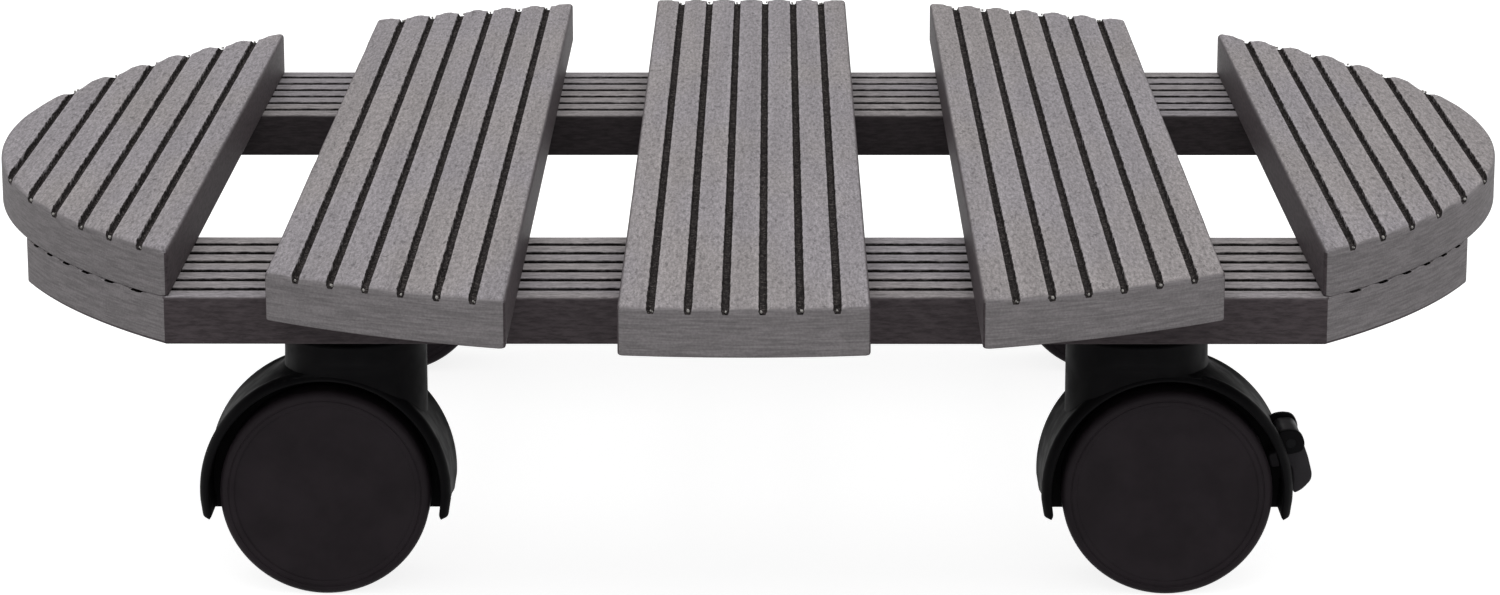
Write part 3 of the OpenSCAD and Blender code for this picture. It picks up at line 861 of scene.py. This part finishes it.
class Graph:
    """Adds nodes to a material or a world and joins them"""

    def __init__(self, owner):
        owner.use_nodes = True
        self.owner = owner
        self.tree = owner.node_tree
        self.tree.nodes.clear()

    def node(self, kind, inputs=None, **settings):
        made = self.tree.nodes.new("ShaderNode" + kind)
        for key, value in settings.items():
            setattr(made, key, value)
        for key, value in (inputs or {}).items():
            if isinstance(value, bpy.types.NodeSocket):
                self.tree.links.new(value, made.inputs[key])
            else:
                made.inputs[key].default_value = value
        return made

    def math(self, operation, first, second=0.0, third=0.0):
        return self.node("Math", {0: first, 1: second, 2: third}, operation=operation).outputs[0]

    def product(self, first, *others):
        for other in others:
            first = self.math("MULTIPLY", first, other)
        return first

    def tint(self, colour, value):
        """The colour with its brightness scaled by the value"""
        grey = self.node("CombineColor", {0: value, 1: value, 2: value}).outputs[0]
        return self.mix(1.0, colour, grey, "MULTIPLY")

    def noise(self, vector, scale, detail=3.0, rough=0.55):
        made = self.node("TexNoise", {
            "Vector": vector, "Scale": scale, "Detail": detail, "Roughness": rough})
        return made.outputs["Fac"]

    def spread(self, value, low, high, out_low=0.0, out_high=1.0):
        made = self.node("MapRange", {
            "Value": value, "From Min": low, "From Max": high,
            "To Min": out_low, "To Max": out_high}, interpolation_type="SMOOTHSTEP")
        return made.outputs[0]

    def mix(self, share, first, second, blend="MIX"):
        made = self.node("Mix", data_type="RGBA", blend_type=blend)
        for slot, value in ((0, share), (6, first), (7, second)):
            if isinstance(value, bpy.types.NodeSocket):
                self.tree.links.new(value, made.inputs[slot])
            elif slot == 0:
                made.inputs[slot].default_value = value
            else:
                made.inputs[slot].default_value = (*value[:3], 1.0)
        return made.outputs[2]

    def seen(self):
        """One for rays from the camera, of reflections and through glass, nought for others"""
        path = self.node("LightPath").outputs
        seen = self.math("MAXIMUM", path["Is Camera Ray"], path["Is Glossy Ray"])
        return self.math("MAXIMUM", seen, path["Is Transmission Ray"])

    def finish(self, shader, kind="OutputMaterial"):
        self.node(kind, {"Surface": shader.outputs[0]})
        return self.owner


def decking_material(name, looks, along_x, offset, painted_shade=1.0):
    """Wood composite: brushed top, cut ends, grooves darkened partly by painted shade, and skin, which
    the shade factor darkens as painted shade, with its grain along a board
    """
    g = Graph(bpy.data.materials.new(name))
    place = g.node("TexCoord").outputs["Object"]
    turn = math.radians(90) if along_x else 0.0
    laid = g.node("Mapping", {
        "Vector": place, "Location": (offset, offset * 1.7, 0.0),
        "Rotation": (0, 0, turn)}).outputs[0]

    def streaks(start, cells, detail, rough=0.55):
        """Noise with so many cells to the metre across, along and up"""
        vector = g.node("Mapping", {"Vector": start, "Scale": cells}).outputs[0]
        return g.noise(vector, 1.0, detail, rough)

    patches = streaks(laid, (40, 12, 40), 2.0)
    broad = streaks(laid, (300, 12, 300), 3.0)
    fibres = streaks(laid, (1900, 330, 1900), 3.0, 0.7)
    grain = streaks(laid, (3600, 1300, 3600), 2.0, 0.6)
    ticks = streaks(laid, (1300, 330, 1300), 1.0, 0.5)
    chewed = streaks(laid, (900, 420, 900), 2.0)
    sawn = streaks(place, (150, 150, 2400), 3.0, 0.6)
    scratches = streaks(place, (420, 420, 5200), 2.0)
    grit = g.noise(place, 2300.0, 2.0)
    lumps = g.noise(place, 1300.0, 1.0)

    # The boards' colour layer holds a place's share of sawn end, groove and side, and in its
    # alpha the share of a ridge's crest, or 2 on a splinter
    finish = g.node("Attribute", attribute_name="finish", attribute_type="GEOMETRY")
    split = g.node("SeparateColor", {"Color": finish.outputs["Color"]})
    ends, deep, sides = split.outputs[0], split.outputs[1], split.outputs[2]
    crest = finish.outputs["Alpha"]

    base = looks.brushed
    warm = (base[0] * 1.01, base[1], base[2] * 0.98)
    cool = (base[0] * 0.99, base[1] * 0.99, base[2] * 1.02)
    # The crest term lightens the ridges' edges by the grooves: partly wear, partly a painted highlight
    value = g.product(
        g.spread(broad, 0.3, 0.7, 0.93, 1.07), g.spread(fibres, 0.28, 0.72, 0.72, 1.28),
        g.spread(grain, 0.3, 0.7, 0.84, 1.16), g.spread(ticks, 0.62, 0.72, 1.0, 0.68),
        g.math("MULTIPLY_ADD", crest, 0.16, 1.0))
    top = g.tint(g.mix(g.spread(patches, 0.38, 0.62), warm, cool), value)

    end_face = g.tint(base, g.product(
        g.spread(sawn, 0.28, 0.72, 0.68, 1.02), g.spread(grit, 0.3, 0.7, 0.90, 1.10),
        g.spread(scratches, 0.60, 0.70, 1.0, 0.80)))

    # The shade factor paints shade on the skin, for the rear rail that lies under the deck
    skin = g.tint(looks.skin, g.spread(fibres, 0.25, 0.75, 0.68 * painted_shade, 1.34 * painted_shade))

    crumbs = g.product(
        g.spread(lumps, 0.47, 0.68), g.spread(grain, 0.4, 0.6, 0.0, 0.2 if along_x else 1.0))
    # The groove floor's dark colour is partly painted shade in the recess; the rails' grooves get more
    # of it
    bed = g.tint(looks.groove, 0.6 if along_x else g.spread(fibres, 0.3, 0.7, 0.8, 2.4))
    floor = g.mix(crumbs, bed, looks.crumb)

    bite = 0.2 if along_x else 0.8
    ragged = g.math("MULTIPLY_ADD", g.math("SUBTRACT", chewed, 0.5), bite, deep)
    depth = g.spread(ragged, 0.42, 0.58)
    colour = g.mix(g.spread(ends, 0.35, 0.95), top, end_face)
    colour = g.mix(g.spread(sides, 0.1, 0.9), colour, skin)
    colour = g.mix(depth, colour, floor)
    colour = g.mix(g.spread(crest, 1.4, 1.6), colour, looks.splinter)

    rough = g.math("MULTIPLY_ADD", g.spread(sides, 0.0, 1.0), -0.2, 0.76)
    rough = g.math("MAXIMUM", rough, depth)
    shine = g.math("MULTIPLY_ADD", g.spread(sides, 0.0, 1.0), -0.06, 0.12)
    shine = g.math("MULTIPLY", shine, g.math("MULTIPLY_ADD", depth, -0.95, 1.0))
    height = g.math("MULTIPLY_ADD", fibres, 0.6, g.math("MULTIPLY", grain, 0.4))
    bump = g.node("Bump", {"Height": height, "Strength": 0.4, "Distance": 0.08 * MM})
    shader = g.node("BsdfPrincipled", {
        "Base Color": colour, "Roughness": rough, "Normal": bump.outputs[0],
        "Specular IOR Level": shine})
    return g.finish(shader)


def plastic_material(name, colour, roughness, grain, specular):
    """Moulded black plastic with a faint grain"""
    g = Graph(bpy.data.materials.new(name))
    place = g.node("TexCoord").outputs["Object"]
    cloud = g.noise(place, 120.0, 3.0)
    fine = g.noise(place, 3200.0, 2.0)
    base = g.tint(colour, g.spread(cloud, 0.3, 0.7, 0.85, 1.18))
    rough = g.spread(g.noise(place, 300.0, 2.0), 0.3, 0.7, roughness - 0.05, roughness + 0.05)
    bump = g.node("Bump", {"Height": fine, "Strength": grain, "Distance": 0.03 * MM})
    shader = g.node("BsdfPrincipled", {
        "Base Color": base, "Roughness": rough, "Normal": bump.outputs[0],
        "Specular IOR Level": specular})
    return g.finish(shader)


def steel_material(name, colour, roughness):
    """Steel with soft clouding"""
    g = Graph(bpy.data.materials.new(name))
    place = g.node("TexCoord").outputs["Object"]
    base = g.tint(colour, g.spread(g.noise(place, 260.0, 4.0), 0.3, 0.7, 0.8, 1.12))
    rough = g.spread(g.noise(place, 900.0, 2.0), 0.3, 0.7, roughness - 0.08, roughness + 0.08)
    fine = g.noise(place, 2200.0, 2.0)
    bump = g.node("Bump", {"Height": fine, "Strength": 0.15, "Distance": 0.03 * MM})
    shader = g.node("BsdfPrincipled", {
        "Base Color": base, "Roughness": rough, "Metallic": 1.0, "Normal": bump.outputs[0]})
    return g.finish(shader)


def give(piece, material):
    """Puts one material on a piece"""
    piece.data.materials.clear()
    piece.data.materials.append(material)


def dress(piece, body, slot, *nodes):
    """Makes a piece stand for its nodes and ride on a body"""
    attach(piece, body)
    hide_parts(*nodes)


# Operators

class CADDY_OT_boards(bpy.types.Operator):
    """Builds the five slats and the two rails"""
    bl_idname = "caddy.boards"
    bl_label = "Boards"

    def execute(self, context):
        sizes = context.scene.caddy_boards
        looks = context.scene.caddy_looks
        for k, node in enumerate(SLATS + RAILS):
            rail = node in RAILS
            board = build_board(node, sizes, rail)
            # The rear rail lies under the deck, so its skin is painted darker as shade
            painted_shade = 0.5 if node == "rear_rail" else 1.0
            give(board, decking_material("decking " + node, looks, rail, 0.37 * (k + 1), painted_shade))
            dress(board, "deck", "decking", node)
        return {"FINISHED"}


class CADDY_OT_hoods(bpy.types.Operator):
    """Builds the four casters' hoods"""
    bl_idname = "caddy.hoods"
    bl_label = "Hoods"

    def execute(self, context):
        sizes = context.scene.caddy_casters
        looks = context.scene.caddy_looks
        plastic = plastic_material("black plastic", looks.plastic, 0.58, 0.3, 0.045)
        plain = build_hood(sizes, False)
        braked = build_hood(sizes, True)
        for corner in CORNERS:
            source = braked if corner == BRAKED else plain
            hood = placed_copy(source, caster_place(corner), corner + "_hood_shell")
            smooth(hood.data)
            give(hood, plastic)
            dress(hood, corner + "_caster", "black_plastic", corner + "_hood")
        bpy.data.objects.remove(plain)
        bpy.data.objects.remove(braked)
        return {"FINISHED"}


class CADDY_OT_wheels(bpy.types.Operator):
    """Builds the eight wheels"""
    bl_idname = "caddy.wheels"
    bl_label = "Wheels"

    def execute(self, context):
        sizes = context.scene.caddy_casters
        looks = context.scene.caddy_looks
        black = plastic_material("wheel plastic", looks.wheel, 0.5, 0.3, 0.08)
        plain = build_wheel(sizes)
        for corner in CORNERS:
            for side, turn in (("front", 0.0), ("rear", 180.0)):
                name = "{}_{}_".format(corner, side)
                wheel = placed_copy(plain, axle_place(corner, turn), name + "tyre")
                give(wheel, black)
                dress(wheel, name + "roller", "black_wheel", name + "wheel")
        bpy.data.objects.remove(plain)
        return {"FINISHED"}


class CADDY_OT_brake(bpy.types.Operator):
    """Builds the brake lever"""
    bl_idname = "caddy.brake"
    bl_label = "Brake lever"

    def execute(self, context):
        looks = context.scene.caddy_looks
        lever = build_lever(context.scene.caddy_casters)
        lever.name = "brake_lever"
        lever.data.transform(caster_place(BRAKED))
        give(lever, plastic_material("lever plastic", looks.lever, 0.5, 0.3, 0.1))
        dress(lever, "front_right_lever", "black_plastic", "front_right_brake_lever")
        return {"FINISHED"}


class CADDY_OT_steel(bpy.types.Operator):
    """Gives the plates, screws, stems, rings, axles and pin their steel"""
    bl_idname = "caddy.steel"
    bl_label = "Steel parts"

    def execute(self, context):
        looks = context.scene.caddy_looks
        # The zinc is kept dull, partly as painted shade for the plates under the rails
        zinc = steel_material("zinc steel", looks.steel, 0.34)
        blacked_and_shade = steel_material("blacked steel", looks.blacked_and_shade, 0.42)
        give(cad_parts["deck_screws"], zinc)
        give(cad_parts[BRAKED + "_brake_pin"], blacked_and_shade)
        for corner in CORNERS:
            for part in ("_plate", "_plate_screws", "_ring", "_axle"):
                give(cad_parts[corner + part], zinc)
            # The stems get the dark steel as painted shade in the gap under the rail
            give(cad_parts[corner + "_stem"], blacked_and_shade)
        return {"FINISHED"}


class CADDY_OT_stage(bpy.types.Operator):
    """Builds the floor, the lights and the camera"""
    bl_idname = "caddy.stage"
    bl_label = "Stage"

    def execute(self, context):
        looks = context.scene.caddy_looks
        scene = context.scene
        bm = bmesh.new()
        bmesh.ops.create_grid(bm, x_segments=2, y_segments=2, size=6.0)
        floor = to_object(bm, "floor")
        white = (1, 1, 1, 1)
        g = Graph(bpy.data.materials.new("floor"))
        glow = g.node("Emission", {"Color": white, "Strength": g.math("MULTIPLY", g.seen(), 0.85)})
        matte = g.node("BsdfDiffuse", {"Color": (0.5, 0.5, 0.5, 1)})
        both = g.node("AddShader", {0: glow.outputs[0], 1: matte.outputs[0]})
        give(floor, g.finish(both))

        g = Graph(bpy.data.worlds.new("studio"))
        strength = g.node("MapRange", {"Value": g.seen(), "To Min": looks.sky, "To Max": 1.0})
        sky = g.node("Background", {"Color": white, "Strength": strength.outputs[0]})
        scene.world = g.finish(sky, "OutputWorld")

        for name, power, size, place, aim in (
                ("overhead", looks.key, 1.4, (0.0, -0.1, 1.3), (0, 0, 0)),
                ("front", looks.front, 0.9, (0.0, -1.5, 0.9), (0, 0, 0.03))):
            lamp = bpy.data.lights.new(name, "AREA")
            lamp.energy = power
            lamp.shape = "SQUARE"
            lamp.size = size
            way = Vector(aim) - Vector(place)
            turn = way.to_track_quat("-Z", "Y").to_matrix().to_4x4()
            add_object(name, lamp).matrix_world = Matrix.Translation(place) @ turn

        place = (0.00491, -0.95337, 0.27035)
        pitch, yaw, roll = 0.2417, -0.0048, -0.0008
        ahead = Vector((
            math.sin(yaw) * math.cos(pitch), math.cos(yaw) * math.cos(pitch), -math.sin(pitch)))
        right = Vector((math.cos(yaw), -math.sin(yaw), 0.0))
        up = right.cross(ahead)
        side = math.cos(roll) * right + math.sin(roll) * up
        lift = -math.sin(roll) * right + math.cos(roll) * up
        turn = Matrix((side, lift, -ahead)).transposed().to_4x4()
        data = bpy.data.cameras.new("camera")
        data.sensor_width = 36.0
        data.lens = looks.lens
        camera = add_object("camera", data)
        camera.matrix_world = Matrix.Translation(place) @ turn
        scene.camera = camera
        scene.view_settings.view_transform = "Standard"
        return {"FINISHED"}


class CADDY_PT_panel(bpy.types.Panel):
    """Lists the caddy's building steps"""
    bl_idname = "CADDY_PT_panel"
    bl_label = "Plant Caddy"
    bl_space_type = "VIEW_3D"
    bl_region_type = "UI"
    bl_category = "Caddy"

    def draw(self, context):
        for step in STEPS:
            self.layout.operator(step.bl_idname)


STEPS = (CADDY_OT_boards, CADDY_OT_hoods, CADDY_OT_wheels, CADDY_OT_brake, CADDY_OT_steel,
         CADDY_OT_stage)
SETTINGS = {"caddy_boards": CaddyBoards, "caddy_casters": CaddyCasters, "caddy_looks": CaddyLooks}


def register():
    for group in SETTINGS.values():
        bpy.utils.register_class(group)
    for step in STEPS + (CADDY_PT_panel,):
        bpy.utils.register_class(step)
    for name, group in SETTINGS.items():
        setattr(bpy.types.Scene, name, PointerProperty(type=group))


def unregister():
    for name in SETTINGS:
        delattr(bpy.types.Scene, name)
    for step in reversed(STEPS + (CADDY_PT_panel,)):
        bpy.utils.unregister_class(step)
    for group in reversed(list(SETTINGS.values())):
        bpy.utils.unregister_class(group)


def main():
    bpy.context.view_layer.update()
    register()
    bpy.ops.caddy.boards()
    bpy.ops.caddy.hoods()
    bpy.ops.caddy.wheels()
    bpy.ops.caddy.brake()
    bpy.ops.caddy.steel()
    bpy.ops.caddy.stage()


if __name__ == "__main__":
    main()
